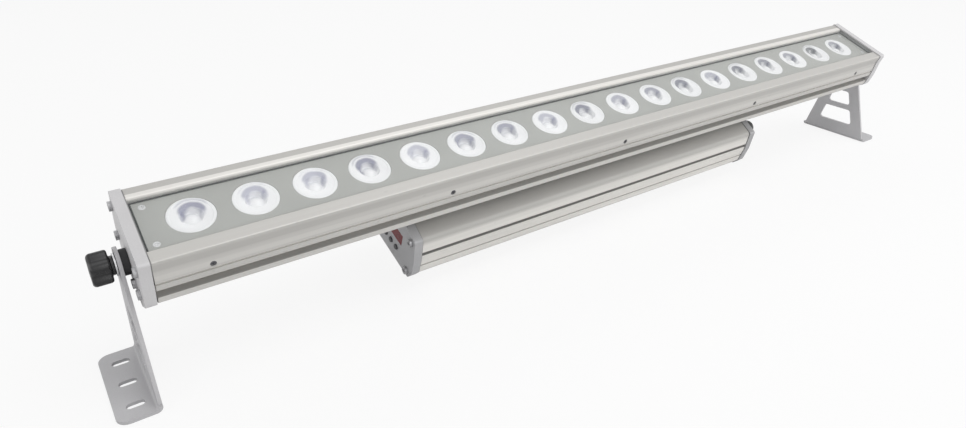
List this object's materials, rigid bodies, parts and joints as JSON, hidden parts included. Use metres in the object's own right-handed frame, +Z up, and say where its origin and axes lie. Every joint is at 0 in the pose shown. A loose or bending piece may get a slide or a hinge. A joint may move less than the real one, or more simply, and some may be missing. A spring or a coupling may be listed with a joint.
{
  "type": "wall washer light",
  "caption": "Long extruded wall washer light with a row of round lenses behind glass, a driver box hung under it and a swivelling clamp bracket with a knob at each end.",
  "frame": {"origin": "centre of the pattern of foot slots, on the surface that the two feet stand on", "axes": "+X along the lamp towards the end with the cable glands, +Y to the back, +Z up; the lamp's face leans towards -Y"},
  "size_m": [1.082, 0.1293, 0.1678],
  "materials": {
    "housing_aluminium": "satin anodised extrusion with fine lines along its length",
    "cap_paint": "silver grey powder coat on die cast ends",
    "plate_paint": "satin grey paint",
    "bracket_paint": "light grey powder coat",
    "front_glass": "clear toughened glass",
    "lens_clear": "clear moulded lens",
    "holder_white": "white moulded cup",
    "emitter": "ceramic base with a clear dome",
    "light_board": "white solder mask on an aluminium core",
    "tray_aluminium": "plain folded sheet",
    "seal_rubber": "black silicone",
    "screw_steel": "stainless steel",
    "brass": "machined",
    "circuit_board": "green solder mask",
    "terminal_green": "moulded",
    "display_red": "dark red tinted window",
    "display_dark": "dark moulded segments",
    "gland_nylon": "black nylon",
    "knob_black": "black moulded grip",
    "button_rubber": "black silicone rubber"
  },
  "bodies": {
    "lamp": {"lamp_housing": "housing_aluminium", "lamp_cap_left": "cap_paint", "lamp_cap_right": "cap_paint", "cap_gasket_left": "seal_rubber", "cap_gasket_right": "seal_rubber", "cap_screws_left": "screw_steel", "cap_screws_right": "screw_steel", "face_plate": "plate_paint", "face_plate_screws": "screw_steel", "plate_posts": "housing_aluminium", "front_glass": "front_glass", "glass_seal": "seal_rubber", "lenses": "lens_clear", "lens_holders": "holder_white", "led_emitters": "emitter", "led_board_left": "light_board", "led_board_middle": "light_board", "led_board_right": "light_board", "led_tray": "tray_aluminium", "side_screws": "screw_steel", "pivot_insert_left": "brass", "pivot_insert_right": "brass", "grip_washer_left": "seal_rubber", "grip_washer_right": "seal_rubber", "driver_housing": "housing_aluminium", "driver_cap_left": "cap_paint", "driver_cap_right": "cap_paint", "driver_gasket_left": "seal_rubber", "driver_gasket_right": "seal_rubber", "driver_cap_screws": "screw_steel", "hanger_left": "bracket_paint", "hanger_right": "bracket_paint", "hanger_screws": "screw_steel", "power_supply": "tray_aluminium", "small_screws": "screw_steel", "control_board": "circuit_board", "terminal_block": "terminal_green", "board_standoffs": "brass", "display_window": "display_red", "display_module": "display_dark", "display_board": "circuit_board", "link_conduit": "gland_nylon", "conduit_nut": "screw_steel", "power_glands": "gland_nylon", "power_gland_nuts": "gland_nylon", "data_glands": "gland_nylon", "data_gland_nuts": "gland_nylon", "vent_plug": "gland_nylon"},
    "bracket_left": {"bracket_left": "bracket_paint"},
    "bracket_right": {"bracket_right": "bracket_paint"},
    "knob_left": {"knob_left": "knob_black", "knob_stud_left": "screw_steel", "steel_washer_left": "screw_steel"},
    "knob_right": {"knob_right": "knob_black", "knob_stud_right": "screw_steel", "steel_washer_right": "screw_steel"},
    "button_menu": {"button_menu": "button_rubber"},
    "button_down": {"button_down": "button_rubber"},
    "button_up": {"button_up": "button_rubber"},
    "button_enter": {"button_enter": "button_rubber"}
  },
  "joints": [
    {"name": "bracket_left_swing", "type": "hinge", "parent": "lamp", "child": "bracket_left", "pos_m": [-0.5075, 0, 0.116], "axis": [1, 0, 0], "range_deg": [-69, 111]},
    {"name": "bracket_right_swing", "type": "hinge", "parent": "lamp", "child": "bracket_right", "pos_m": [0.5075, 0, 0.116], "axis": [1, 0, 0], "range_deg": [-69, 111]},
    {"name": "knob_left_turn", "type": "hinge", "parent": "lamp", "child": "knob_left", "pos_m": [-0.5075, 0, 0.116], "axis": [1, 0, 0], "continuous": true},
    {"name": "knob_right_turn", "type": "hinge", "parent": "lamp", "child": "knob_right", "pos_m": [0.5075, 0, 0.116], "axis": [1, 0, 0], "continuous": true},
    {"name": "button_menu_press", "type": "slide", "parent": "lamp", "child": "button_menu", "axis": [1, 0, 0], "range_m": [0, 0.0008], "stiffness_N_per_m": 400, "springref_m": -0.001},
    {"name": "button_down_press", "type": "slide", "parent": "lamp", "child": "button_down", "axis": [1, 0, 0], "range_m": [0, 0.0008], "stiffness_N_per_m": 400, "springref_m": -0.001},
    {"name": "button_up_press", "type": "slide", "parent": "lamp", "child": "button_up", "axis": [1, 0, 0], "range_m": [0, 0.0008], "stiffness_N_per_m": 400, "springref_m": -0.001},
    {"name": "button_enter_press", "type": "slide", "parent": "lamp", "child": "button_enter", "axis": [1, 0, 0], "range_m": [0, 0.0008], "stiffness_N_per_m": 400, "springref_m": -0.001}
  ]
}
